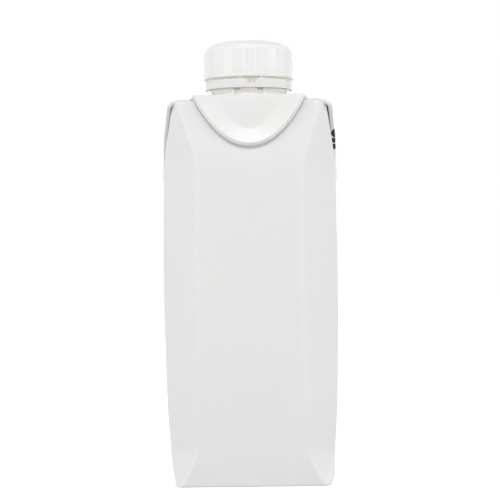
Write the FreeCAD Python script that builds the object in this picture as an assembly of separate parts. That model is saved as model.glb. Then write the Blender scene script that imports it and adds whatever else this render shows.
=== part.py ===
"""A shut drinking-water carton with bevelled edges, folded ears and a wide screw closure.

The origin is the middle of the base, +Z is up and the front faces -Y. Lengths are in millimetres.
"""
import FreeCAD, Part
import math
import os

Vector = FreeCAD.Vector
X_AXIS = Vector(1, 0, 0)
Y_AXIS = Vector(0, 1, 0)
Z_AXIS = Vector(0, 0, 1)
FAR = 100.0                 # reach of cutting blocks past the shape

# ---- Board body: square top and base, bevelled edges between them ----
square_side = 50.0          # side of the square top and of the square base
body_height = 125.6         # base to the flat top
waist_bulge = 3.45          # each panel stands out by this at mid-height
corner_inset = 1.5          # crease to corner line at the very top and base
crease_inset = 8.15         # crease to corner line where the bevel is full
top_run = 21.5              # the bevels are full this far below the top
foot_height = 11.2          # each bevel has a steeper foot facet up to here
foot_inset = 6.7            # crease to corner line at the top of the foot facet
foot_run = 27.0             # the bevels are full this far above the base
lean_height = 6.5           # each panel leans out steeply up to here, then gently
lean_bulge = 1.62           # each panel stands out by this at that height
waist_rise = 37.5           # the panels turn upright here
waist_fall = 20.9           # and lean in again from this far below the top
panel_bends = (4.8, 24.0, 7.0)      # rounding of those three turns, along the panel
bevel_bends = (3.0, 6.0, 3.0)       # the same for the bevels
fold_radius = 1.3           # folded edges of the top and base
board = 0.45                # thickness of the board

# ---- Folded ears, seals and underside ----
ear_drop = 25.0             # top to the tip of an ear
ear_thickness = 2 * board
ear_fold_out = 1.9          # outside of an ear at its fold, past the corner of the square
ear_fold_reach = 2.9        # rounding of that fold
ear_belly_drop = 13.0       # an ear bends towards the panel this far below the top
ear_belly_out = 3.6         # and is this far out there
ear_belly_reach = 4.0       # rounding of that bend
ear_press = 0.45            # the tip is pressed into the panel by this
ear_tip_half = 1.4          # half-width of the blunted tip
ear_corner = 0.8            # top corner of an ear to the corner of the square
seal_line = 1.7             # the cross seal folds here, just behind the middle
seal_width = 8.0
seal_thickness = 0.5
back_seam_width = 8.0       # overlap of the board up the back
back_seam_step = 0.3
rim_width = 3.0             # foot rim round the hollow of the underside
hollow_depth = 1.1
hollow_draft = 1.5          # the hollow's sides lean in by this
flap_thickness = 0.7        # ears folded under the base
flap_tip_gap = 1.2          # tip of a bottom flap to the middle
fin_thickness = 0.45        # cross seal under the bottom flaps

# ---- Frame: plate on the top, neck and drinking tongue ----
neck_radius = 12.4
plate_height = 1.6
plate_half = 19.4           # half-width of the plate's foot
plate_draft = 1.5           # the plate's sides lean in by this
plate_back = 0.3            # plate to the seal behind it
neck_back = 1.3             # neck to the plate's back edge
neck_axis = seal_line - plate_back - neck_back - neck_radius    # y of the closure's axis
tongue_drop = 15.6          # tongue below the top edge, along the front panel
tongue_half = plate_half - plate_draft      # half-width of the tongue at the top edge
tongue_round = 0.14         # its outline: 0 is a parabola and 1 a circle
shield_drop = 9.9           # shield inside the tongue's band, along the front panel
shield_half = 9.7           # half-width of the shield at the top edge
shield_round = 0.05
shield_proud = 0.95         # shield in front of the panel
lip_proud = 2.15            # edge of the band in front of the panel
lip_land = 1.0              # edge strip outside the band's slope, at the tip
lip_side = 0.55             # and at the top edge
lip_chamfer = 0.8
tongue_wall = 1.2
tongue_clearance = 0.15     # tongue to the board behind it
rib_count = 8               # short ribs round the foot of the neck
rib_width = 0.7
rib_proud = 0.8
rib_height = 1.7
collar_step = 1.0           # conical collar inside the tamper band, out from the neck
collar_height = 1.5
window_angles = (-16.5, 16.5)       # slots in the collar
window_width = 1.9
window_height = 0.6

# ---- Cap with its tamper band ----
cap_clearance = 0.35        # cap and band to the neck
cap_wall = 1.8              # skirt between the grips
cap_radius = neck_radius + cap_clearance + cap_wall
cap_lift = 5.9              # top of the plate to the cap's lower rim
cap_base = body_height + plate_height + cap_lift
cap_height = 12.0
cap_top_thickness = 1.6
cap_corner = 2.8            # height of the rounded top corner
cap_corner_reach = 3.9      # and its reach inwards
cap_corner_steps = 4        # cone rings that make it up
rim_height = 1.15           # plain rim at the foot of the cap
rim_proud = 0.25
grip_count = 24
grip_start = 9.0            # angle of one grip
grip_proud = 0.25
grip_width = 0.7            # half-width of a grip where it leaves the skirt
grip_crest = 0.3
grip_height = 8.3
band_gap = 0.8              # slit between the cap and the tamper band
band_height = 2.8
band_proud = 0.3            # band out from the skirt
band_radius = cap_radius + band_proud
band_bore = neck_radius + collar_step + cap_clearance
band_taper = 0.45           # the band is this much narrower at its foot
bridge_angles = (-52, -31, -10.5, 16.5, 40, 76, 104, 132, 160, 188, 216, 244, 272)
bridge_widths = (0.4, 0.4, 1.5, 1.5, 0.4, 0.4, 0.4, 0.4, 0.4, 0.4, 0.4, 0.4, 0.4)
bridge_inset = 0.2          # bridges lie this far inside the skirt
bridge_thickness = 0.5
bridge_root = 0.4           # and reach this far into the cap and the band
notch_angles = (-69, 0.5, 6.5, 60, 120, 180, 240)   # bites in the band's upper edge
notch_width = 1.4
notch_depth = 1.2


def block(x_low, x_high, y_low, y_high, z_low, z_high):
    corner = Vector(x_low, y_low, z_low)
    return Part.makeBox(x_high - x_low, y_high - y_low, z_high - z_low, corner)


def line(start, end):
    return Part.LineSegment(start, end).toShape()


def outline_prism(points, direction):
    return Part.Face(Part.makePolygon(points + points[:1])).extrude(direction)


# ---- Board body ----
def rounded_line(points, bends):
    """Edges along the points, with each inner corner rounded by an arc of that reach."""
    edges = []
    start = points[0]
    for before, corner, after, reach in zip(points, points[1:], points[2:], bends):
        back = (before - corner).normalize()
        ahead = (after - corner).normalize()
        half_turn = back.getAngle(ahead) / 2
        radius = reach * math.tan(half_turn)
        centre_reach = reach / math.cos(half_turn)
        inward = (back + ahead).normalize()
        entry = corner + back * reach
        leave = corner + ahead * reach
        edges.append(line(start, entry))
        edges.append(Part.Arc(entry, corner + inward * (centre_reach - radius), leave).toShape())
        start = leave
    edges.append(line(start, points[-1]))
    return edges


def panel_line(grow=0.0):
    """Panel seen end on, from the base up: distance from the axis against height."""
    square = square_side / 2 + grow
    waist = square + waist_bulge
    points = [
        Vector(square, 0, 0),
        Vector(square + lean_bulge, 0, lean_height),
        Vector(waist, 0, waist_rise),
        Vector(waist, 0, body_height - waist_fall),
        Vector(square, 0, body_height),
    ]
    return rounded_line(points, panel_bends)


def bevel_line(grow=0.0):
    """Bevel seen end on, from the base up: a foot facet, an upright run and a lean to the top."""
    def distance(bulge, inset):
        return (square_side + bulge - inset) / math.sqrt(2) + grow

    end = distance(0, corner_inset)
    full = distance(waist_bulge, crease_inset)
    points = [
        Vector(end, 0, 0),
        Vector(distance(lean_bulge, foot_inset), 0, foot_height),
        Vector(full, 0, foot_run),
        Vector(full, 0, body_height - top_run),
        Vector(end, 0, body_height),
    ]
    return rounded_line(points, bevel_bends)


def mirrored_form(edges, heading):
    """Solid between a line and its mirror image, extruded across; heading turns it about Z."""
    top = edges[-1].Vertexes[-1].Point
    foot = edges[0].Vertexes[0].Point
    across = [edge.mirror(Vector(0, 0, 0), X_AXIS) for edge in edges]
    lid = line(top, Vector(-top.x, 0, top.z))
    floor = line(foot, Vector(-foot.x, 0, foot.z))
    ring = Part.Wire(Part.__sortEdges__(edges + across + [lid, floor]))
    form = Part.Face(ring).extrude(Vector(0, 2 * FAR, 0))
    form.translate(Vector(0, -FAR, 0))
    form.rotate(Vector(0, 0, 0), Z_AXIS, heading)
    return form


def body_form(grow=0.0):
    """Outer form of the body: four pairs of single-curved walls, grown outwards by grow."""
    form = mirrored_form(panel_line(grow), 0)
    form = form.common(mirrored_form(panel_line(grow), 90))
    form = form.common(mirrored_form(bevel_line(grow), 45))
    return form.common(mirrored_form(bevel_line(grow), -45))


def folded_body():
    """Body with its top and base edges rounded as folded board."""
    form = body_form()
    rims = [
        edge for edge in form.Edges
        if edge.BoundBox.ZMin > body_height - 0.01 or edge.BoundBox.ZMax < 0.01
    ]
    return form.makeFillet(fold_radius, rims)


def ear_form(grow=0.0):
    """Form inside the outer face of both folded ears, grown outwards by grow."""
    top = body_height + grow
    square = square_side / 2 + grow
    tip = square + waist_bulge - ear_press + ear_thickness
    points = [
        Vector(tip, 0, body_height - ear_drop),
        Vector(square + ear_belly_out, 0, body_height - ear_belly_drop),
        Vector(square + ear_fold_out, 0, top),
        Vector(0, 0, top),
    ]
    edges = rounded_line(points, (ear_belly_reach, ear_fold_reach + grow))
    end = edges[-1].Vertexes[0].Point
    edges[-1] = line(end, Vector(end.x / 2, 0, top))
    return mirrored_form(edges, 0)


def ear():
    """Ear folded down over the +X panel: it stands off at its fold and closes at its tip."""
    top = body_height
    tip = top - ear_drop
    half = square_side / 2 - ear_corner
    points = [
        Vector(0, -half, top),
        Vector(0, half, top),
        Vector(0, half, top - 2 * ear_thickness),
        Vector(0, ear_tip_half, tip),
        Vector(0, -ear_tip_half, tip),
        Vector(0, -half, top - 2 * ear_thickness),
    ]
    triangle = outline_prism(points, Vector(FAR, 0, 0))
    return ear_form().cut(ear_form(-ear_thickness)).common(triangle)


def cross_seal():
    """Seal folded flat to the back: across the top and down both ears."""
    low = body_height - ear_drop
    strap = block(-FAR, FAR, seal_line, seal_line + seal_width, low, body_height + FAR)
    return ear_form(seal_thickness).cut(ear_form(-board)).common(strap)


def back_seam():
    """Overlap of the board's two edges up the middle of the back."""
    seam = mirrored_form(panel_line(back_seam_step), 90)
    half = back_seam_width / 2
    low = fold_radius
    high = body_height - fold_radius
    return seam.common(block(-half, half, 0, FAR, low, high))


def underside(body):
    """Hollow base with two ears folded under it and the cross seal beneath them."""
    mouth = square_side / 2 - rim_width
    roof = mouth - hollow_draft
    wires = [
        Part.makePolygon([
            Vector(-half, -half, z), Vector(half, -half, z), Vector(half, half, z),
            Vector(-half, half, z), Vector(-half, -half, z),
        ])
        for half, z in ((mouth, 0), (roof, hollow_depth))
    ]
    body = body.cut(Part.makeLoft(wires, True, True))
    fin_low = hollow_depth - fin_thickness
    fin = block(-mouth, mouth, 0, seal_width, fin_low, hollow_depth + board)
    flap_low = hollow_depth - flap_thickness
    body = body.fuse(fin)
    for side in (-1, 1):
        flap = outline_prism(
            [
                Vector(side * (mouth + board), -mouth, flap_low),
                Vector(side * (mouth + board), mouth, flap_low),
                Vector(side * flap_tip_gap, ear_tip_half, flap_low),
                Vector(side * flap_tip_gap, -ear_tip_half, flap_low),
            ],
            Vector(0, 0, flap_thickness + board),
        )
        body = body.fuse(flap)
    return body


def carton():
    body = underside(folded_body())
    right_ear = ear()
    left_ear = right_ear.mirror(Vector(0, 0, 0), X_AXIS)
    for piece in (back_seam(), right_ear, left_ear, cross_seal()):
        body = body.fuse(piece)
    return body.removeSplitter()


# ---- Frame ----
def on_panel(u, v, n):
    """Point on the sloping top of the front panel: u across, v up it, n out of it."""
    start = Vector(0, -square_side / 2, body_height)
    run = waist_fall
    lean = waist_bulge
    up = Vector(0, lean, run).normalize()
    out = Vector(0, -run, lean).normalize()
    return start + X_AXIS * u + up * v + out * n


def tongue_ring(half, drop, roundness, high, n):
    """Closed outline: half wide at the top edge, drop deep below it and open at high.

    It is a cone curve, from a parabola at roundness 0 to a circle at 1.
    """
    rise = high + drop
    slope = half * half / drop + roundness * drop
    spread = math.sqrt(slope * rise - roundness * rise * rise)
    pole = rise - 2 * spread * spread / (slope - 2 * roundness * rise)
    left = on_panel(-spread, high, n)
    right = on_panel(spread, high, n)
    curve = Part.BezierCurve()
    curve.setPoles([left, on_panel(0, pole - drop, n), right])
    curve.setWeight(2, -rise / pole)
    return Part.Wire([curve.toShape(), line(right, left)])


def tongue():
    """Drinking tongue folded over the front edge: flat shield and flared band round it."""
    high = 3 * plate_height
    out = on_panel(0, 0, 1) - on_panel(0, 0, 0)
    blank = Part.Face(tongue_ring(tongue_half, tongue_drop, tongue_round, high, -lip_proud))
    blank = blank.extrude(out * (2 * lip_proud))
    front = on_panel(0, 0, lip_proud)
    lip = [
        edge for edge in blank.Edges
        if abs((edge.CenterOfMass - front).dot(out)) < 0.01 and len(edge.Vertexes) == 2
        and edge.BoundBox.ZLength > 1
    ]
    blank = blank.makeChamfer(lip_chamfer, lip)
    rings = [
        tongue_ring(shield_half, shield_drop, shield_round, high, shield_proud),
        tongue_ring(tongue_half - lip_side, tongue_drop - lip_land, tongue_round, high, lip_proud),
    ]
    slope = Part.makeLoft(rings, True, True)
    wide = tongue_half + lip_proud
    behind = Part.Face(tongue_ring(wide, tongue_drop + lip_proud, tongue_round, high, -lip_proud))
    behind = behind.extrude(out * (2 * lip_proud - tongue_wall))
    back_slope = slope.copy()
    back_slope.translate(out * -tongue_wall)
    blank = blank.cut(slope).cut(behind.cut(back_slope))
    top = body_height + plate_height
    reach = block(-tongue_half, tongue_half, -FAR, neck_axis, 0, top)
    return blank.common(reach).cut(body_form(tongue_clearance))


def plate():
    """Plate under the neck: straight sides to the front edge, round flanks, straight back."""
    wires = []
    for draft, z in ((0, body_height), (plate_draft, body_height + plate_height)):
        half = plate_half - draft
        front = -square_side / 2 + tongue_clearance
        back = seal_line - plate_back - draft
        depth = back - neck_axis
        side = math.sqrt(half * half - depth * depth)
        lean = Vector(math.cos(0.5 * math.asin(depth / half)), math.sin(0.5 * math.asin(depth / half)), 0)
        centre = Vector(0, neck_axis, z)
        right_front = Vector(half, front, z)
        right_axis = Vector(half, neck_axis, z)
        right_back = Vector(side, back, z)
        left_back = Vector(-side, back, z)
        left_axis = Vector(-half, neck_axis, z)
        left_front = Vector(-half, front, z)
        right_middle = centre + lean * half
        left_middle = centre + Vector(-lean.x, lean.y, 0) * half
        wires.append(Part.Wire([
            line(left_front, right_front),
            line(right_front, right_axis),
            Part.Arc(right_axis, right_middle, right_back).toShape(),
            line(right_back, left_back),
            Part.Arc(left_back, left_middle, left_axis).toShape(),
            line(left_axis, left_front),
        ]))
    return Part.makeLoft(wires, True, True)


def collar():
    """Collar that flares from the neck up to the tamper band, with small slots at its edge."""
    top = cap_base - band_gap - band_height
    foot = Vector(0, neck_axis, top - collar_height)
    ring = Part.makeCone(neck_radius, neck_radius + collar_step, collar_height, foot)
    reach = neck_axis - neck_radius
    half = window_width / 2
    window = block(
        -half, half, reach - 2 * collar_step, reach - cap_clearance / 2, top - window_height, top + 1
    )
    for angle in window_angles:
        ring = ring.cut(at_angle(window, angle))
    return ring


def spout_frame():
    top = body_height + plate_height
    axis_foot = Vector(0, neck_axis, top)
    neck_top = cap_base + cap_height - cap_top_thickness - cap_clearance
    body = plate().fuse(tongue())
    body = body.fuse(Part.makeCylinder(neck_radius, neck_top - top + board, axis_foot - Z_AXIS * board))
    body = body.fuse(collar())
    for number in range(rib_count):
        rib = block(
            -rib_width / 2, rib_width / 2,
            neck_axis - neck_radius - rib_proud, neck_axis, top - board, top + rib_height,
        )
        rib.rotate(axis_foot, Z_AXIS, 360 * (number + 0.5) / rib_count)
        body = body.fuse(rib)
    return body.removeSplitter()


# ---- Cap ----
def turned(points):
    """Ring or disc turned about the closure's axis from (radius, height) points."""
    corners = [Vector(radius, neck_axis, z) for radius, z in points]
    face = Part.Face(Part.makePolygon(corners + corners[:1]))
    return face.revolve(Vector(0, neck_axis, 0), Z_AXIS, 360)


def at_angle(shape, degrees):
    """Shape from the front of the closure, turned about its axis."""
    copy = shape.copy()
    copy.rotate(Vector(0, neck_axis, 0), Z_AXIS, degrees)
    return copy


def cap_skirt():
    """Cap with a rounded shoulder, a plain rim and a ring of fine grips."""
    foot = Vector(0, neck_axis, cap_base)
    shoulder = cap_base + cap_height - cap_corner
    profile = [(0, cap_base), (cap_radius, cap_base)]
    for step in range(cap_corner_steps + 1):
        turn = math.pi / 2 * step / cap_corner_steps
        inward = cap_corner_reach * (1 - math.cos(turn))
        profile.append((cap_radius - inward, shoulder + cap_corner * math.sin(turn)))
    profile.append((0, cap_base + cap_height))
    body = turned(profile)
    rim = Part.makeCylinder(cap_radius + rim_proud, rim_height, foot)
    rim_edge = [edge for edge in rim.Edges if edge.BoundBox.ZMin > cap_base + rim_height - 0.01]
    body = body.fuse(rim.makeChamfer(rim_proud, rim_edge))
    root = neck_axis - cap_radius + grip_proud
    crest = neck_axis - cap_radius - grip_proud
    low = cap_base + rim_height / 2
    grip = outline_prism(
        [
            Vector(-grip_width, root, low), Vector(grip_width, root, low),
            Vector(grip_crest / 2, crest, low), Vector(-grip_crest / 2, crest, low),
        ],
        Z_AXIS * grip_height,
    )
    grips = [at_angle(grip, grip_start + 360 * number / grip_count) for number in range(grip_count)]
    body = body.fuse(grips)
    bore = neck_radius + cap_clearance
    return body.cut(Part.makeCylinder(bore, cap_height - cap_top_thickness, foot))


def tamper_band():
    """Band held to the cap by small bridges, with bites in its upper edge."""
    high = cap_base - band_gap
    low = high - band_height
    foot = band_radius - band_taper
    ring = turned([(band_bore, high), (band_radius, high), (foot, low), (band_bore, low)])
    bite = outline_prism(
        [
            Vector(-notch_width / 2, neck_axis, high + board),
            Vector(-notch_width / 2, neck_axis, high - notch_depth / 2),
            Vector(-notch_width / 6, neck_axis, high - notch_depth),
            Vector(notch_width / 6, neck_axis, high - notch_depth),
            Vector(notch_width / 2, neck_axis, high - notch_depth / 2),
            Vector(notch_width / 2, neck_axis, high + board),
        ],
        Y_AXIS * -FAR,
    )
    for angle in notch_angles:
        ring = ring.cut(at_angle(bite, angle))
    return ring


def screw_cap():
    body = cap_skirt().fuse(tamper_band())
    front = neck_axis - cap_radius + bridge_inset
    back = front + bridge_thickness
    low = cap_base - band_gap - bridge_root
    for angle, width in zip(bridge_angles, bridge_widths):
        bridge = block(-width / 2, width / 2, front, back, low, cap_base + bridge_root)
        body = body.fuse(at_angle(bridge, angle))
    return body.removeSplitter()


os.makedirs("parts", exist_ok=True)
pieces = {"carton": carton(), "spout_frame": spout_frame(), "screw_cap": screw_cap()}
for name, shape in pieces.items():
    solids = shape.Solids
    print(name, shape.ShapeType, len(solids), "valid", shape.isValid(), round(shape.Volume, 1))
    shape.exportStep("parts/" + name + ".step")
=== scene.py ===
import bmesh
import bpy
import math
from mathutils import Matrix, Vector, noise


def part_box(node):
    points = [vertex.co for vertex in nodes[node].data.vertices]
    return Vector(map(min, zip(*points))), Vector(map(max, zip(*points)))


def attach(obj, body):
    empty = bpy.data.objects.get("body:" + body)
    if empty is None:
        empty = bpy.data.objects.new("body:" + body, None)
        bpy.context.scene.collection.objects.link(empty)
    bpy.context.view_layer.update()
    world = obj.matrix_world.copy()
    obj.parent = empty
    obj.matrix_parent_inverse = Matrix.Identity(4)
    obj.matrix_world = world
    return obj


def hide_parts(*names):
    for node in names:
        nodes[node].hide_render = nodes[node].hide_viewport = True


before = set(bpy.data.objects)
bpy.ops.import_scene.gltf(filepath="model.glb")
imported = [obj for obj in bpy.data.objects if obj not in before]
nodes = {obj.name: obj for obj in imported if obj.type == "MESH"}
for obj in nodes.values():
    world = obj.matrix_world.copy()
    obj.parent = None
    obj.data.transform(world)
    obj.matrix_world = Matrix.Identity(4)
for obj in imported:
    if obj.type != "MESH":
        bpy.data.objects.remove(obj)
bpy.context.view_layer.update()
mm = 0.001
packLow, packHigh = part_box("carton")
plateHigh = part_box("spout_frame")[1]
capLow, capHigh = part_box("screw_cap")
print("frame loaded:", sorted(nodes))


# shader helpers

class Value:
    # a number socket that works in Python expressions
    def __init__(self, maker, socket):
        self.maker = maker
        self.socket = socket

    def maths(self, operation, *values):
        return self.maker.node("ShaderNodeMath", {"operation": operation}, dict(enumerate(values)))

    def __add__(self, other):
        return self.maths("ADD", self, other)

    __radd__ = __add__

    def __sub__(self, other):
        return self.maths("SUBTRACT", self, other)

    def __rsub__(self, other):
        return self.maths("SUBTRACT", other, self)

    def __mul__(self, other):
        return self.maths("MULTIPLY", self, other)

    __rmul__ = __mul__

    def absolute(self):
        return self.maths("ABSOLUTE", self)

    def clamped(self):
        return self.maker.node("ShaderNodeClamp", {}, {"Value": self})


class Finish:
    # a material or a world with an empty node tree
    def __init__(self, owner):
        self.owner = owner
        owner.use_nodes = True
        self.tree = owner.node_tree
        self.tree.nodes.clear()

    def node(self, kind, settings, sockets, output=0):
        made = self.tree.nodes.new(kind)
        for key, value in settings.items():
            setattr(made, key, value)
        for key, value in sockets.items():
            if isinstance(value, Value):
                self.tree.links.new(value.socket, made.inputs[key])
            else:
                made.inputs[key].default_value = value
        return Value(self, made.outputs[output]) if made.outputs else made

    def outputs(self, kind, sockets, names):
        # several outputs of one node
        made = self.node(kind, {}, sockets).socket.node
        return [Value(self, made.outputs[name]) for name in names]

    def noise(self, place, scale, detail, roughness=0.5):
        return self.node("ShaderNodeTexNoise", {}, {
            "Vector": place, "Scale": scale, "Detail": detail, "Roughness": roughness})

    def mixed(self, factor, first, second):
        return self.node("ShaderNodeMix", {"data_type": "RGBA"}, {0: factor, 6: first, 7: second}, 2)

    def place(self):
        return self.node("ShaderNodeTexCoord", {}, {}, "Object")


def newFinish(name):
    return Finish(bpy.data.materials.new(name))


# coated board

boardLook = {
    "colour": (0.838, 0.830, 0.820, 1),
    "cloud": (0.814, 0.811, 0.808, 1),      # where the coating looks a little greyer
    "crease": (0.838, 0.832, 0.826, 1),     # fold lines, scuffed and a little lighter as a painted highlight
    "cutEdge": (0.800, 0.770, 0.720, 1),    # raw board at a cut edge
    "ink": (0.012, 0.012, 0.014, 1),
    # noise scale and detail, and for the fibre its roughness
    "clouds": (55, 3),
    "waves": (330, 2),                      # soft waviness of the film, about 3 mm
    "fibre": (2600, 4, 0.6),
    "waveShare": 0.7,                       # share of the waves in the relief, the rest is fibre
    "reliefDepth": 0.035 * mm,
    "reliefStrength": 0.32,
    "roughness": 0.36,
    "roughSpread": 0.12,
    "wearRough": 0.08,                      # added on worn folds
    "cutRough": 0.30,                       # added on cut edges
    "inkRough": 0.25,                       # added on the print
    "wearAndSheenBase": 0.2,                        # how much of the wear and painted highlight shows where the fibre noise is nil
    "coat": 0.22,                           # gloss coat, which the print lacks
    "coatRoughness": 0.22,
}


def boardFinish(name, printed=None):
    m = newFinish(name)
    look = boardLook
    place = m.place()
    cloud = m.noise(place, *look["clouds"])
    wave = m.noise(place, *look["waves"])
    fibre = m.noise(place, *look["fibre"])
    wearAndSheen = m.node("ShaderNodeAttribute", {"attribute_name": "wearAndSheen"}, {}, "Fac")
    cut = m.node("ShaderNodeAttribute", {"attribute_name": "cut"}, {}, "Fac")
    colour = m.mixed(cloud, look["colour"], look["cloud"])
    # folds and edges turn toward the crease colour: scuff wear, and a painted highlight that lightens them
    # a little
    colour = m.mixed((wearAndSheen * (fibre + look["wearAndSheenBase"])).clamped(), colour, look["crease"])
    colour = m.mixed(cut, colour, look["cutEdge"])
    rough = look["roughness"] + look["roughSpread"] * (fibre - 0.5)
    rough = rough + look["wearRough"] * wearAndSheen + look["cutRough"] * cut
    coat = look["coat"]
    if printed:
        ink = printed(m, place)
        colour = m.mixed(ink, colour, look["ink"])
        rough = rough + look["inkRough"] * ink
        coat = coat * (1 - ink)
    height = look["waveShare"] * wave + (1 - look["waveShare"]) * fibre
    bump = m.node("ShaderNodeBump", {}, {
        "Strength": look["reliefStrength"], "Distance": look["reliefDepth"], "Height": height})
    shader = m.node("ShaderNodeBsdfPrincipled", {}, {
        "Base Color": colour, "Roughness": rough, "Normal": bump,
        "Coat Weight": coat, "Coat Roughness": look["coatRoughness"]})
    m.node("ShaderNodeOutputMaterial", {}, {"Surface": shader})
    return m.owner


# plain dark bars, printed round the front fold of the right ear
bars = {
    # middle height, half height and where the back end lies in Y, mm
    "rows": ((114.95, 1.40, -3.0), (112.72, 0.80, -6.0), (110.82, 0.90, -4.2)),
    "start": 26.7,                      # X of their rounded front end, mm
    "soft": 0.12,                       # blur of their edges, mm
}


def barPrint(m, place):
    split = m.outputs("ShaderNodeSeparateXYZ", {"Vector": place}, "XYZ")
    out, back, height = [part * (1 / mm) for part in split]
    ink = None
    for middle, half, end in bars["rows"]:
        past = ((back - (end - half)) * (1 / half)).clamped()
        short = ((bars["start"] + half - out) * (1 / half)).clamped()
        reach = half * (1 - past * past - short * short)
        row = ((reach - (height - middle).absolute()) * (1 / bars["soft"])).clamped()
        ink = row if ink is None else (ink + row).clamped()
    return ink


boardWhite = boardFinish("coatedBoard")
boardPrinted = boardFinish("printedBoard", barPrint)


# moulded plastics

plastics = {
    "frame": {
        "colour": (0.845, 0.840, 0.828, 1), "cloud": (0.828, 0.824, 0.814, 1),
        "roughness": 0.30, "roughSpread": 0.10,
        "grain": (3200, 3, 0.6), "grainDepth": 0.006 * mm, "edgeRound": 0.16 * mm,
        "subsurface": 0.35, "subsurfaceReach": 1.5 * mm,
        # the neck is painted lighter and warmer than the rest of the frame, as painted light where the cap
        # shades it, from this far under the cap upwards
        "neck": (0.940, 0.920, 0.880, 1), "neckDrop": 2.4 * mm, "neckSoft": 0.4 * mm,
    },
    "cap": {
        "colour": (0.953, 0.934, 0.926, 1), "cloud": (0.939, 0.921, 0.912, 1),
        "roughness": 0.40, "roughSpread": 0.12,
        "grain": (2400, 3, 0.6), "grainDepth": 0.010 * mm, "edgeRound": 0.24 * mm,
        "subsurface": 0.50, "subsurfaceReach": 2.5 * mm,
    },
    "clouds": (120, 2),                 # noise scale and detail
    "grainStrength": 0.5,
    "subsurfaceTint": (1.0, 0.97, 0.94),
    "edgeSamples": 6,
}


def mouldedFinish(name, look):
    m = newFinish(name)
    place = m.place()
    cloud = m.noise(place, *plastics["clouds"])
    grain = m.noise(place, *look["grain"])
    colour = m.mixed(cloud, look["colour"], look["cloud"])
    # painted light: the neck under the cap is made lighter and warmer
    if "neck" in look:
        height = m.outputs("ShaderNodeSeparateXYZ", {"Vector": place}, "Z")[0]
        start = capLow.z - look["neckDrop"]
        colour = m.mixed(((height - start) * (1 / look["neckSoft"])).clamped(), colour, look["neck"])
    rough = look["roughness"] + look["roughSpread"] * (grain - 0.5)
    rounded = m.node("ShaderNodeBevel", {"samples": plastics["edgeSamples"]}, {"Radius": look["edgeRound"]})
    bump = m.node("ShaderNodeBump", {}, {
        "Strength": plastics["grainStrength"], "Distance": look["grainDepth"],
        "Height": grain, "Normal": rounded})
    shader = m.node("ShaderNodeBsdfPrincipled", {}, {
        "Base Color": colour, "Roughness": rough, "Normal": bump,
        "Subsurface Weight": look["subsurface"], "Subsurface Scale": look["subsurfaceReach"],
        "Subsurface Radius": plastics["subsurfaceTint"]})
    m.node("ShaderNodeOutputMaterial", {}, {"Surface": shader})
    return m.owner


for node, slotName, finish in (
    ("spout_frame", "frame_plastic", mouldedFinish("framePlastic", plastics["frame"])),
    ("screw_cap", "cap_plastic", mouldedFinish("capPlastic", plastics["cap"])),
):
    piece = nodes[node]
    piece.data.materials.clear()
    piece.data.materials.append(finish)
print("finishes made")


# mesh helpers

meshDetail = {
    "sharpAngle": 38,                   # edges that turn more than this stay sharp, degrees
    "bendTurns": 6,                     # least number of steps round a bend
    "bendFineness": 3,                    # steps round a bend for each step of its reach
}


def meshPiece(name, points, faces, finish, marks, instead="carton"):
    mesh = bpy.data.meshes.new(name)
    mesh.from_pydata([tuple(point) for point in points], [], faces)
    shape = bmesh.new()
    shape.from_mesh(mesh)
    bmesh.ops.recalc_face_normals(shape, faces=shape.faces)
    shape.to_mesh(mesh)
    shape.free()
    mesh.polygons.foreach_set("use_smooth", [True] * len(mesh.polygons))
    mesh.set_sharp_from_angle(angle=math.radians(meshDetail["sharpAngle"]))
    for mark, values in marks.items():
        mesh.attributes.new(mark, "FLOAT", "POINT").data.foreach_set("value", values)
    mesh.materials.append(finish)
    piece = bpy.data.objects.new(name, mesh)
    bpy.context.scene.collection.objects.link(piece)
    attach(piece, "root")
    if instead:
        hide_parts(instead)


def rings(count, size, closeEnds=True):
    # quads between neighbouring rings of points, and a face over each end
    faces = []
    for row in range(count - 1):
        for column in range(size):
            after = (column + 1) % size
            base = row * size
            faces.append((base + column, base + after, base + size + after, base + size + column))
    if closeEnds:
        faces.append(tuple(range(size)))
        faces.append(tuple(range((count - 1) * size, count * size)))
    return faces


def smooth(value):
    value = min(max(value, 0.0), 1.0)
    return value * value * (3 - 2 * value)


def bentLine(points, bends):
    # gives the distance from the axis at a height: straight runs with a soft bend at each corner
    slopes = [(b[1] - a[1]) / (b[0] - a[0]) for a, b in zip(points, points[1:])]

    def at(height):
        distance = points[0][1] + slopes[0] * (height - points[0][0])
        for (corner, _), reach, before, after in zip(points[1:], bends, slopes, slopes[1:]):
            into = min(max(height - corner + reach, 0), 2 * reach)
            past = max(height - corner - reach, 0)
            distance += (after - before) * (into * into / (4 * reach) + past)
        return distance

    return at


def softBend(entry, corner, leave, t):
    # a point on the curve that rounds a corner
    return entry.lerp(corner, t).lerp(corner.lerp(leave, t), t)


def softPath(points, bends, step):
    # points along straight runs, rounded at the inner corners
    path = []
    start = points[0]
    for before, corner, after, reach in zip(points, points[1:], points[2:], bends):
        entry = corner + (before - corner).normalized() * reach
        leave = corner + (after - corner).normalized() * reach
        count = max(1, round((entry - start).length / step))
        path += [start.lerp(entry, number / count) for number in range(count)]
        turns = max(meshDetail["bendTurns"], round(meshDetail["bendFineness"] * reach / step))
        path += [softBend(entry, corner, leave, number / turns) for number in range(turns)]
        start = leave
    count = max(1, round((points[-1] - start).length / step))
    path += [start.lerp(points[-1], number / count) for number in range(count + 1)]
    return path


# board body

sealBoard = 0.5 * mm                    # the cross seal stands this far above the flat top
packTop = packHigh.z - sealBoard
waist = -packLow.y                      # half the depth at mid-height

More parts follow.
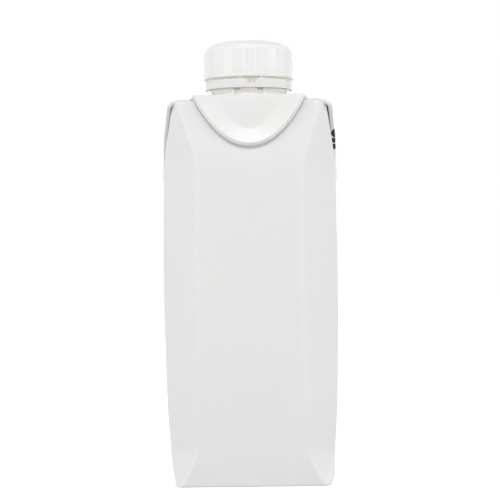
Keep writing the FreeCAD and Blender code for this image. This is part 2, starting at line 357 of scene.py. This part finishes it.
body = {
    # how the panels stand out from the square ends, and where
    "bulge": 3.45 * mm,
    "leanHeight": 6.5 * mm, "leanBulge": 1.62 * mm,
    "rise": 37.5 * mm, "fall": 20.9 * mm,
    "panelBends": (4.8 * mm, 24 * mm, 7 * mm),
    # how far the bevels cut into the corners, and where
    "cornerInset": 1.5 * mm, "creaseInset": 8.15 * mm,
    "footHeight": 11.2 * mm, "footInset": 6.7 * mm, "footRun": 27 * mm, "topRun": 21.5 * mm,
    "bevelBends": (2.2 * mm, 5 * mm, 3 * mm),
    "bevelLeast": 0.25 * mm,            # least distance from a crease to the corner
    # scored folds between panels and bevels
    "creaseSoft": 0.9 * mm,             # a fold line is rounded over this reach
    "softLimit": 0.42,                  # and over no more than this share of the bevel
    "score": 0.024 * mm,                # pressed line beside each fold
    "crown": 0.10 * mm,                 # the panels fall away towards the folds
    # folds round the top and the foot
    "topFold": 1.5 * mm, "footFold": 0.6 * mm,
    "pressed": 0.35, "pressedReach": 1.5 * mm,      # the top fold is tighter under the frame's plate
    "sidePressed": 0.40,                # and under the ears
    "foldMargin": 0.1 * mm,             # and the pressing starts this far under the fold
    "puff": 0.30 * mm, "puffRise": 3,   # the top swells a little beside the plate
    # hollow base
    "rim": 3 * mm, "hollowDepth": 1.1 * mm, "hollowDraft": 1.5 * mm,
    # most that a side stands out and how high that reaches, a little fuller at the left
    "fill": {1: (0.28 * mm, 95 * mm), -1: (0.45 * mm, 108 * mm)},
    "fillFoot": 8 * mm, "fillRun": (20 * mm, 30 * mm),
    # shallow unevenness
    "sway": 0.10 * mm, "swayScale": 26,
    "ripple": 0.02 * mm, "rippleScale": 130, "rippleShift": Vector((7, 3, 5)),
    # wear with a painted highlight beside a fold, on the hollow's rim, and round the foot and the top
    "scoreWearAndSheen": 0.6, "rimWearAndSheen": (0.5, 0.3, 0.2), "footWearAndSheen": 0.7, "topWearAndSheen": 0.5,
    # columns and rings of the mesh
    "panelColumns": 44, "bevelColumns": 14, "foldColumns": 5, "footTurns": 7, "topTurns": 9,
    "crowding": 0.25,                   # a panel's columns are closer together at its folds
    "fineStep": 0.55 * mm, "wideStep": 1.5 * mm,    # rings are closer together at the foot and the top
    "fineReach": 14 * mm, "fineShare": 0.5,
    "hollowRun": 2 * mm, "hollowSoft": ((0.85, 0.8), (0.2, 0.2)),   # shares of its depth and draft
    "rimEdge": 0.4 * mm, "topRings": (0.8 * mm, 4 * mm),
}
square = waist - body["bulge"]
rootTwo = math.sqrt(2)

panelAt = bentLine([
    (0, square), (body["leanHeight"], square + body["leanBulge"]), (body["rise"], waist),
    (packTop - body["fall"], waist), (packTop, square),
], body["panelBends"])
bevelAt = bentLine([
    (0, 2 * square - body["cornerInset"]),
    (body["footHeight"], 2 * square + body["leanBulge"] - body["footInset"]),
    (body["footRun"], 2 * square + body["bulge"] - body["creaseInset"]),
    (packTop - body["topRun"], 2 * square + body["bulge"] - body["creaseInset"]),
    (packTop, 2 * square - body["cornerInset"]),
], body["bevelBends"])

dents = {
    # knocks at the front right foot corner: place, reach and push, mm
    "knocks": (
        ((26.2, -20.5, 3.0), (3.0, 5.0, 3.6), (0.62, -0.10, 0)),
        ((25.6, -24.4, 6.2), (1.2, 1.2, 1.6), (-0.22, 0.22, 0)),
    ),
    "knockEnd": 3,                      # a knock has faded out this many reaches away
    # small wrinkles at the foot: start, end, half width and height, mm
    "wrinkles": (
        ((25.9, -24.0, 0.9), (27.0, -21.4, 5.4), 0.42, 0.20),
        ((25.0, -25.0, 1.6), (25.6, -24.6, 6.6), 0.40, 0.16),
        ((22.4, -26.0, 1.2), (25.2, -25.2, 4.2), 0.40, 0.13),
        ((-25.4, -24.6, 1.0), (-25.9, -24.2, 4.4), 0.45, 0.10),
    ),
}


def swayAt(point):
    # shallow unevenness of the filled pack, always inwards
    low = 0.5 + 0.5 * noise.noise(point * body["swayScale"])
    fine = 0.5 + 0.5 * noise.noise(point * body["rippleScale"] + body["rippleShift"])
    return body["sway"] * low + body["ripple"] * fine


def knocked(point, outward):
    moved = point.copy()
    for place, reach, push in dents["knocks"]:
        away = sum(((point[k] / mm - place[k]) / reach[k]) ** 2 for k in range(3))
        if away < dents["knockEnd"] ** 2:
            moved += Vector(push) * mm * math.exp(-away)
    for start, end, half, height in dents["wrinkles"]:
        start, end = Vector(start) * mm, Vector(end) * mm
        run = end - start
        along = (point - start).dot(run) / run.length_squared
        if 0 < along < 1:
            away = (point - start - run * along).length / (half * mm)
            moved += outward * height * mm * math.exp(-away * away) * math.sin(math.pi * along)
    return moved


def filled(point):
    # the water presses the side panels out
    amount, top = body["fill"][1 if point.x > 0 else -1]
    low, high = body["fillRun"]
    full = smooth((point.z - body["fillFoot"]) / low) * smooth((top - point.z) / high)
    return Vector((point.x * (1 + amount * full / waist), point.y, point.z))


def bodySection(height, inset):
    # one ring, each point with its outward way, inward shift, and wear with a painted highlight:
    # the front panel, its fold, a bevel and the next fold, turned four times
    panel = panelAt(height) - inset
    bevel = bevelAt(height) - inset * rootTwo
    crease = min(bevel - panel, panel - body["bevelLeast"])
    length = (panel - crease) * rootTwo
    soft = min(body["creaseSoft"], body["softLimit"] * length)
    full = smooth(height / body["footRun"]) * smooth((packTop - height) / body["topRun"])
    ahead, aside, right = Vector((0, -1, 0)), Vector((1, -1, 0)).normalized(), Vector((1, 0, 0))
    first, second = Vector((crease, -panel, height)), Vector((panel, -crease, height))
    slope = (second - first).normalized()
    quarter = []

    def addWall(point, outward, edge, scored):
        inward = body["crown"] * full * edge ** 3 + (body["score"] if scored else 0)
        quarter.append((point, outward, inward, body["scoreWearAndSheen"] if scored else 0))

    def addFold(entry, corner, leave, before, after):
        for fold in range(1, body["foldColumns"]):
            t = fold / body["foldColumns"]
            outward = before.lerp(after, t).normalized()
            quarter.append((softBend(entry, corner, leave, t), outward, body["crown"] * full, 1))

    columns = body["panelColumns"]
    for column in range(columns + 1):
        t = 2 * column / columns - 1
        t = (1 + body["crowding"]) * t - body["crowding"] * t ** 3
        addWall(Vector((t * (crease - soft), -panel, height)), ahead, abs(t), column in (0, columns))
    addFold(first - right * soft, first, first + slope * soft, ahead, aside)
    columns = body["bevelColumns"]
    for column in range(columns + 1):
        t = column / columns
        point = (first + slope * soft).lerp(second - slope * soft, t)
        addWall(point, aside, abs(2 * t - 1), column in (0, columns))
    addFold(second - slope * soft, second, second - ahead * soft, aside, right)
    ring = []
    for cos, sin in ((1, 0), (0, 1), (-1, 0), (0, -1)):
        for point, outward, inward, wearAndSheen in quarter:
            spun = Vector((cos * point.x - sin * point.y, sin * point.x + cos * point.y, point.z))
            away = Vector((cos * outward.x - sin * outward.y, sin * outward.x + cos * outward.y, 0))
            ring.append((spun, away, inward, wearAndSheen))
    return ring


def bodyLevels():
    # height, inset, share of the unevenness, and wear with a painted highlight of each ring, from the
    # hollow up to the top
    rim, draft, deep = body["rim"], body["hollowDraft"], body["hollowDepth"]
    radius = body["footFold"]
    levels = [(deep, rim + draft + body["hollowRun"], 0, 0), (deep, rim + draft, 0, 0)]
    levels += [(deep * low, rim + draft * across, 0, 0) for low, across in body["hollowSoft"]]
    insets = (rim, rim - body["rimEdge"], (rim + radius) / 2)
    levels += [(0, inset, 0, wearAndSheen) for inset, wearAndSheen in zip(insets, body["rimWearAndSheen"])]
    for turn in range(body["footTurns"]):
        share = turn / body["footTurns"]
        angle = math.pi / 2 * share
        height, inset = radius * (1 - math.cos(angle)), radius * (1 - math.sin(angle))
        levels.append((height, inset, share, body["footWearAndSheen"]))
    height = radius
    radius = body["topFold"]
    while height < packTop - radius - body["fineStep"] / 2:
        levels.append((height, 0, 1, 0))
        room = min(height, packTop - height) / body["fineReach"]
        coarse = smooth(room - body["fineShare"])
        height += body["fineStep"] + (body["wideStep"] - body["fineStep"]) * coarse
    for turn in range(body["topTurns"] + 1):
        share = turn / body["topTurns"]
        angle = math.pi / 2 * share
        height, inset = packTop - radius * (1 - math.sin(angle)), radius * (1 - math.cos(angle))
        levels.append((height, inset, 1 - share, body["topWearAndSheen"]))
    levels += [(packTop, radius + inner, 0, 0) for inner in body["topRings"]]
    return levels


def settled(point, outward, inset):
    # the top fold: tight under the plate and the ears, and swelling between them
    fold = body["topFold"]
    if point.z < packTop - fold - body["foldMargin"]:
        return point
    past = (abs(point.x) - plateHigh.x) / body["pressedReach"]
    front = body["pressed"] + (1 - body["pressed"]) * smooth(past) if outward.y < 0 else 1
    keep = front + (body["sidePressed"] - front) * smooth(outward.x ** 2)
    moved = point + outward * min(inset, fold) * (1 - keep)
    moved.z = packTop - (packTop - point.z) * keep
    room = (square - fold / 2 - abs(point.x)) / (square - plateHigh.x)
    swell = smooth(past) * smooth(room * body["puffRise"])
    moved.z += body["puff"] * swell * smooth((moved.z - packTop + fold) / fold)
    return moved


def makeBody():
    points, wearAndSheenMarks = [], []
    levels = bodyLevels()
    for height, inset, share, foldWearAndSheen in levels:
        for point, outward, inward, wearAndSheen in bodySection(height, inset):
            moved = point - outward * (inward + swayAt(point)) * share
            if share:
                moved = knocked(moved, outward)
            points.append(settled(filled(moved), outward, inset))
            wearAndSheenMarks.append(max(wearAndSheen * share, foldWearAndSheen))
    size = len(points) // len(levels)
    meshPiece("boardBody", points, rings(len(levels), size), boardWhite, {"wearAndSheen": wearAndSheenMarks})
    print("body made:", len(points), "points")


makeBody()


# ears, seals and seam: flat strips of board with rounded edges

strip = {"edgeTurns": 4, "edgeWearAndSheen": 0.3}


def leafOutline(low, high, thickness, columns, rawEdge):
    # once round a strip's section: place along across, depth under the outer face, raw edge, and wear with
    # a painted highlight
    radius = min(thickness, high - low) / 2
    face = [low + radius + (high - low - 2 * radius) * k / columns for k in range(columns + 1)]
    turns = [math.pi * turn / strip["edgeTurns"] for turn in range(1, strip["edgeTurns"])]
    edge = [(radius * math.sin(angle), thickness / 2 * (1 - math.cos(angle))) for angle in turns]
    outline = [(t, 0, 0, strip["edgeWearAndSheen"] if t in (face[0], face[-1]) else 0) for t in face]
    outline += [(high - radius + reach, depth, rawEdge, 1 - rawEdge) for reach, depth in edge]
    outline += [(t, thickness, 0, 0) for t in reversed(face)]
    outline += [(low + radius - reach, depth, 0, 1) for reach, depth in reversed(edge)]
    return outline


def leaf(name, stations, across, thickness, finish, columns, relief=None, rawEdge=0):
    # each station: middle of the outer face, its normal, low edge and high edge along across
    # rawEdge is 1 where the high edge is cut board
    points, cuts, wearAndSheenMarks = [], [], []
    for centre, normal, low, high in stations:
        for t, depth, cut, wearAndSheen in leafOutline(low, high, thickness, columns, rawEdge):
            lift = relief(centre, t) if relief and depth == 0 else 0
            points.append(centre + across * t + normal * (lift - depth))
            cuts.append(cut)
            wearAndSheenMarks.append(wearAndSheen)
    size = len(points) // len(stations)
    meshPiece(name, points, rings(len(stations), size), finish, {"cut": cuts, "wearAndSheen": wearAndSheenMarks})


def pathNormals(path, outside):
    # normal of each point of a path in the X-Z plane, on the side that outside names
    normals = []
    for number, point in enumerate(path):
        ahead = path[min(number + 1, len(path) - 1)] - path[max(number - 1, 0)]
        normal = Vector((ahead.z, 0, -ahead.x)).normalized()
        normals.append(normal if normal.dot(outside(point)) > 0 else -normal)
    return normals


seal = {
    "line": 1.7 * mm, "width": 8 * mm, "thickness": 0.48 * mm, "sunk": 0.15 * mm,
    # fine ridges, left by the sealing jaws
    "ridge": 0.07 * mm, "ridgePitch": 0.9 * mm, "ridgeFrom": 1.2 * mm, "ridgeTo": 6.6 * mm,
    "ridgeFade": 0.5 * mm,
    "edgeSway": 0.12 * mm, "swayScale": 140, "swayShift": Vector((2, 9, 4)),
    "flatZone": 0.5 * mm,               # flat across an ear's root, down to this far under the top
    "middleRows": 26, "columns": 60,
}
ears = {
    "drop": 25 * mm,
    "thickness": {1: 1.5 * mm, -1: 1.35 * mm},      # two boards and the air between them
    "foldOut": {1: 1.9 * mm, -1: 1.35 * mm},        # right ear and left ear
    "foldReach": {1: 2.9 * mm, -1: 2.5 * mm},
    "foldZone": 6 * mm, "foldUp": 20 * mm,          # above this the outer face looks up too
    "bellyDrop": 13 * mm, "bellyOut": 3.6 * mm, "bellyReach": 4 * mm,
    "tipHalf": 1.4 * mm, "corner": 0.5 * mm, "shoulder": 1.8 * mm,
    "tipClear": 0.04 * mm,              # room left outside the seal at the tip
    "tipRound": ((0.35 * mm, 0.8), (0.6 * mm, 0.4)),        # drop and share of the tip's width
    "tipTuck": 0.1 * mm,
    "root": 5 * mm, "rootDip": 0.35 * mm, "rootEnd": 2 * mm, "rootReach": 0.8 * mm,
    "rootTaper": 3.5 * mm, "rise": 0.05 * mm,
    "step": 0.8 * mm, "columns": 36,
    "sway": 0.10 * mm, "swayScale": 60, "swayFade": 4 * mm,
}


def earPath(side):
    tip = packHigh.x - seal["thickness"] - ears["tipClear"]
    corners = [
        Vector((square - ears["root"], 0, packTop - ears["rootDip"])),
        Vector((square - ears["rootEnd"], 0, packTop + ears["rise"])),
        Vector((square + ears["foldOut"][side], 0, packTop + ears["rise"])),
        Vector((square + ears["bellyOut"], 0, packTop - ears["bellyDrop"])),
        Vector((tip, 0, packTop - ears["drop"])),
    ]
    bends = (ears["rootReach"], ears["foldReach"][side], ears["bellyReach"])
    return [Vector((point.x * side, 0, point.z)) for point in softPath(corners, bends, ears["step"])]


def awayFromPack(point):
    return Vector((point.x, 0, ears["foldUp"] if point.z > packTop - ears["foldZone"] else 0))


def earRelief(centre, t):
    # a little uneven, more so away from the fold
    fade = smooth((packTop - centre.z) / ears["swayFade"])
    wave = noise.noise(Vector((centre.x, t, centre.z)) * ears["swayScale"])
    return -ears["sway"] * fade * (0.5 + 0.5 * wave)


def makeEar(name, side, finish):
    path = earPath(side)
    shoulder, tipHeight = packTop - ears["shoulder"], packTop - ears["drop"]
    widest, narrowest = square - ears["corner"], ears["tipHalf"]
    stations = []
    for point, normal in zip(path, pathNormals(path, awayFromPack)):
        if point.z > shoulder:
            on = smooth((abs(point.x) - square + ears["root"]) / ears["root"])
            half = widest - ears["rootTaper"] * (1 - on)
        else:
            half = narrowest + (widest - narrowest) * (point.z - tipHeight) / (shoulder - tipHeight)
        stations.append((point, normal, -half, half))
    end, normal, low, high = stations[-1]
    for drop, share in ears["tipRound"]:
        place = end - Vector((0, 0, drop)) - normal * ears["tipTuck"]
        stations.append((place, normal, low * share, high * share))
    leaf(name, stations, Vector((0, 1, 0)), ears["thickness"][side], finish, ears["columns"], earRelief)


makeEar("rightEar", 1, boardPrinted)
makeEar("leftEar", -1, boardWhite)


def sealRelief(centre, t):
    along = t - seal["line"]
    fadeIn = smooth((along - seal["ridgeFrom"]) / seal["ridgeFade"])
    fadeOut = smooth((seal["ridgeTo"] - along) / seal["ridgeFade"])
    wave = 0.5 - 0.5 * math.cos(2 * math.pi * (along - seal["ridgeFrom"]) / seal["ridgePitch"])
    return -seal["ridge"] * fadeIn * fadeOut * wave


def levelled(point):
    # the seal runs flat across an ear's root
    near = point.z > packTop - seal["flatZone"]
    return Vector((point.x, 0, max(point.z, packTop) if near else point.z))


def makeCrossSeal():
    # up the left ear, across the top and down the right ear
    left, right = earPath(-1), earPath(1)
    inner, count = abs(left[0].x), seal["middleRows"]
    middle = [Vector((-inner + 2 * inner * k / count, 0, packTop)) for k in range(1, count)]
    path = [levelled(point) for point in reversed(left)] + middle + [levelled(point) for point in right]
    stations = []
    for point, normal in zip(path, pathNormals(path, awayFromPack)):
        if normal.z < 0:
            normal = -normal
        lifted = point + normal * seal["thickness"]
        lifted.z = min(lifted.z, packHigh.z)
        wobble = noise.noise(point * seal["swayScale"] + seal["swayShift"]) * seal["edgeSway"]
        stations.append((lifted, normal, seal["line"], seal["line"] + seal["width"] - abs(wobble)))
    thickness = seal["thickness"] + seal["sunk"]
    across = Vector((0, 1, 0))
    leaf("crossSeal", stations, across, thickness, boardWhite, seal["columns"], sealRelief, 1)


makeCrossSeal()

seam = {
    "half": 4 * mm, "step": 0.3 * mm, "sunk": 0.3 * mm,
    "topShare": 0.6, "topDip": 0.35 * mm,           # it ends part way round the top fold
    "rows": 70, "columns": 20,
}


def makeBackSeam():
    # the board's overlap, from the foot fold up to the top fold
    stations = []
    fold = body["topFold"]
    low, high = body["footFold"], packTop - fold * seam["topShare"]
    for row in range(seam["rows"] + 1):
        height = low + (high - low) * row / seam["rows"]
        dip = smooth((height - packTop + fold) / fold) * seam["topDip"]
        centre = Vector((0, panelAt(height) - swayAt(Vector((0, waist, height))) - dip, height))
        slope = (panelAt(height + mm) - panelAt(height - mm)) / (2 * mm)
        normal = Vector((0, 1, -slope)).normalized()
        stations.append((centre + normal * seam["step"], normal, -seam["half"], seam["half"]))
    thickness = seam["step"] + seam["sunk"]
    leaf("backSeam", stations, Vector((1, 0, 0)), thickness, boardWhite, seam["columns"], None, 1)


makeBackSeam()

under = {
    "flap": 0.7 * mm, "flapTip": 1.2 * mm, "tipHalf": 1.4 * mm, "flapInset": 0.6 * mm,
    "fin": 0.45 * mm, "finWidth": 8 * mm, "finStep": 0.2 * mm, "finSway": 0.2 * mm, "swayScale": 150,
    "rows": 26, "flapColumns": 24, "finColumns": 40, "sunk": 0.3 * mm, "clear": 0.15 * mm,
}


def makeUnderside():
    # two ears folded under the base, and the seal that joins them
    mouth = square - body["rim"] - under["clear"]
    across, down = Vector((0, 1, 0)), Vector((0, 0, -1))
    rows, thickness = under["rows"], under["flap"] + under["sunk"]
    for side, name in ((1, "rightFootEar"), (-1, "leftFootEar")):
        stations = []
        for row in range(rows + 1):
            share = row / rows
            reach = mouth + (under["flapTip"] - mouth) * share
            half = mouth - under["flapInset"] + (under["tipHalf"] - mouth) * share
            drop = under["flap"] + under["clear"] * math.sin(math.pi * share)
            centre = Vector((side * reach, 0, body["hollowDepth"] - drop))
            stations.append((centre, down, -half, half))
        leaf(name, stations, across, thickness, boardWhite, under["flapColumns"])
    stations = []
    rows = under["rows"] * 2
    for row in range(rows + 1):
        x = -mouth + 2 * mouth * row / rows
        wobble = abs(noise.noise(Vector((x * under["swayScale"], 4, 1)))) * under["finSway"]
        centre = Vector((x, 0, body["hollowDepth"] - under["flap"] - under["finStep"]))
        stations.append((centre, down, 0, under["finWidth"] - wobble))
    leaf("footSeal", stations, across, under["fin"], boardWhite, under["finColumns"], None, 1)


makeUnderside()
print("ears, seals and seam made")


# thin film set back in the slit above the tamper band; its pale warm colour is painted light in the slit

film = {
    "low": 1.6 * mm, "high": 3.8 * mm,  # heights above the band's foot
    "depth": 0.62 * mm, "thickness": 0.2 * mm, "sag": 0.12 * mm,
    "wobble": 0.03 * mm, "wobbleScale": 6,
    "segments": 120, "rows": 8,
    "look": {
        # lighter and warmer than the cap: painted light in the slit
        "colour": (0.975, 0.910, 0.800, 1), "cloud": (0.960, 0.880, 0.770, 1),
        "roughness": 0.45, "roughSpread": 0.12,
        "grain": (2400, 3, 0.6), "grainDepth": 0.010 * mm, "edgeRound": 0.05 * mm,
        "subsurface": 0.50, "subsurfaceReach": 2.5 * mm,
    },
}


def makeSlitFilmPaintedLight():
    middle = (capLow + capHigh) / 2
    outer = (capHigh.x - capLow.x) / 2 - film["depth"]
    outside = [(row / (film["rows"] - 1), 0) for row in range(film["rows"])]
    inside = [(share, film["thickness"]) for share, _ in reversed(outside)]
    points = []
    for segment in range(film["segments"]):
        angle = 2 * math.pi * segment / film["segments"]
        way = Vector((math.cos(angle), math.sin(angle), 0))
        for share, deeper in outside + inside:
            wobble = noise.noise(way * film["wobbleScale"] + Vector((0, 0, share)))
            radius = outer - film["sag"] * math.sin(math.pi * share) - film["wobble"] * wobble - deeper
            height = capLow.z + film["low"] + (film["high"] - film["low"]) * share
            points.append(Vector((middle.x, middle.y, height)) + way * radius)
    size = film["rows"] * 2
    faces = rings(film["segments"], size, False)
    last = (film["segments"] - 1) * size
    for column in range(size):
        after = (column + 1) % size
        faces.append((last + column, last + after, after, column))
    meshPiece("slitFilmPaintedLight", points, faces, mouldedFinish("slitFilmPaintedLight", film["look"]), {}, None)


makeSlitFilmPaintedLight()
print("slit film made")


# floor, backdrop and light

studio = {
    "floorSize": 6.0,
    "floorColour": (0.76, 0.76, 0.76, 1),
    "floorGlow": (0.45, 1.0),           # the floor's own white for the camera, near and far
    "floorReach": (0.25, 0.80),         # from this far out to this far
    "skyColour": (0.985, 0.992, 1.0, 1),
    "skyLevel": 0.27,
    "lampAim": Vector((0, 0, 0.08)),
}


def seenRays(m):
    # camera rays, gloss and glass see the white backdrop
    names = ("Is Camera Ray", "Is Glossy Ray", "Is Transmission Ray")
    seen, gloss, glass = m.outputs("ShaderNodeLightPath", {}, names)
    return (seen + gloss + glass).clamped()


def makeFloor():
    bpy.ops.mesh.primitive_plane_add(size=studio["floorSize"])
    floor = bpy.context.object
    floor.name = "floor"
    m = newFinish("floorPaper")
    paper = m.node("ShaderNodeBsdfDiffuse", {}, {"Color": studio["floorColour"]})
    near, far = studio["floorGlow"]
    inner, outer = studio["floorReach"]
    away = m.node("ShaderNodeVectorMath", {"operation": "LENGTH"}, {0: m.place()}, "Value")
    distant = ((away - inner) * (1 / (outer - inner))).clamped()
    level = seenRays(m) * (near + (far - near) * distant)
    dark = m.node("ShaderNodeEmission", {}, {"Strength": 0})
    bright = m.node("ShaderNodeEmission", {}, {"Strength": 1})
    glow = m.node("ShaderNodeMixShader", {}, {0: level, 1: dark, 2: bright})
    both = m.node("ShaderNodeAddShader", {}, {0: paper, 1: glow})
    m.node("ShaderNodeOutputMaterial", {}, {"Surface": both})
    floor.data.materials.append(m.owner)


def makeSky():
    m = Finish(bpy.data.worlds.new("studio"))
    bpy.context.scene.world = m.owner
    sky = m.node("ShaderNodeBackground", {}, {"Color": studio["skyColour"], "Strength": studio["skyLevel"]})
    white = m.node("ShaderNodeBackground", {}, {"Color": (1, 1, 1, 1), "Strength": 1})
    both = m.node("ShaderNodeMixShader", {}, {0: seenRays(m), 1: sky, 2: white})
    m.node("ShaderNodeOutputWorld", {}, {"Surface": both})


lamps = {
    # way round from the front and height in degrees, distance, level, size
    "key": (0, 44, 2.0, 0.33, (0.8, 0.6)),
    "sideLeft": (-64, 14, 2.0, 0.35, (1.2, 0.9)),
    "sideRight": (64, 14, 2.0, 0.35, (1.2, 0.9)),
    "backLeft": (-165, 15, 1.3, 0.28, (0.6, 0.8)),
    "backRight": (165, 15, 1.3, 0.28, (0.6, 0.8)),
}


def makeLamp(name, around, above, distance, level, size):
    # level is how bright the lamp makes a white face that is turned to it
    around, above = math.radians(around), math.radians(above)
    way = Vector((math.sin(around) * math.cos(above), -math.cos(around) * math.cos(above), math.sin(above)))
    data = bpy.data.lights.new(name, "AREA")
    data.shape = "RECTANGLE"
    data.size, data.size_y = size
    data.energy = level * math.pi ** 2 * distance ** 2
    lamp = bpy.data.objects.new(name, data)
    lamp.location = studio["lampAim"] + way * distance
    lamp.rotation_euler = (-way).to_track_quat("-Z", "Y").to_euler()
    bpy.context.scene.collection.objects.link(lamp)


makeFloor()
makeSky()
for name, values in lamps.items():
    makeLamp(name, *values)
print("studio made")


# camera

view = {
    "distance": 0.690,
    "height": 0.0735,
    "aimHeight": 0.0769,
    "roll": 0.72,               # the pack stands this much askew in the picture, degrees
    "side": -0.0003,
    "width": 0.16825,           # width of the picture at the pack's axis
    "sensor": 36.0,             # mm
    "clip": (0.01, 20),
}

cameraData = bpy.data.cameras.new("camera")
cameraData.sensor_width = view["sensor"]
cameraData.lens = view["sensor"] * view["distance"] / view["width"]
cameraData.clip_start, cameraData.clip_end = view["clip"]
camera = bpy.data.objects.new("camera", cameraData)
pitch = math.atan2(view["aimHeight"] - view["height"], view["distance"])
camera.location = (view["side"], -view["distance"], view["height"])
camera.rotation_euler = (math.pi / 2 + pitch, math.radians(view["roll"]), 0)
bpy.context.scene.collection.objects.link(camera)
bpy.context.scene.camera = camera
bpy.context.scene.view_settings.view_transform = "Standard"
print("camera made")
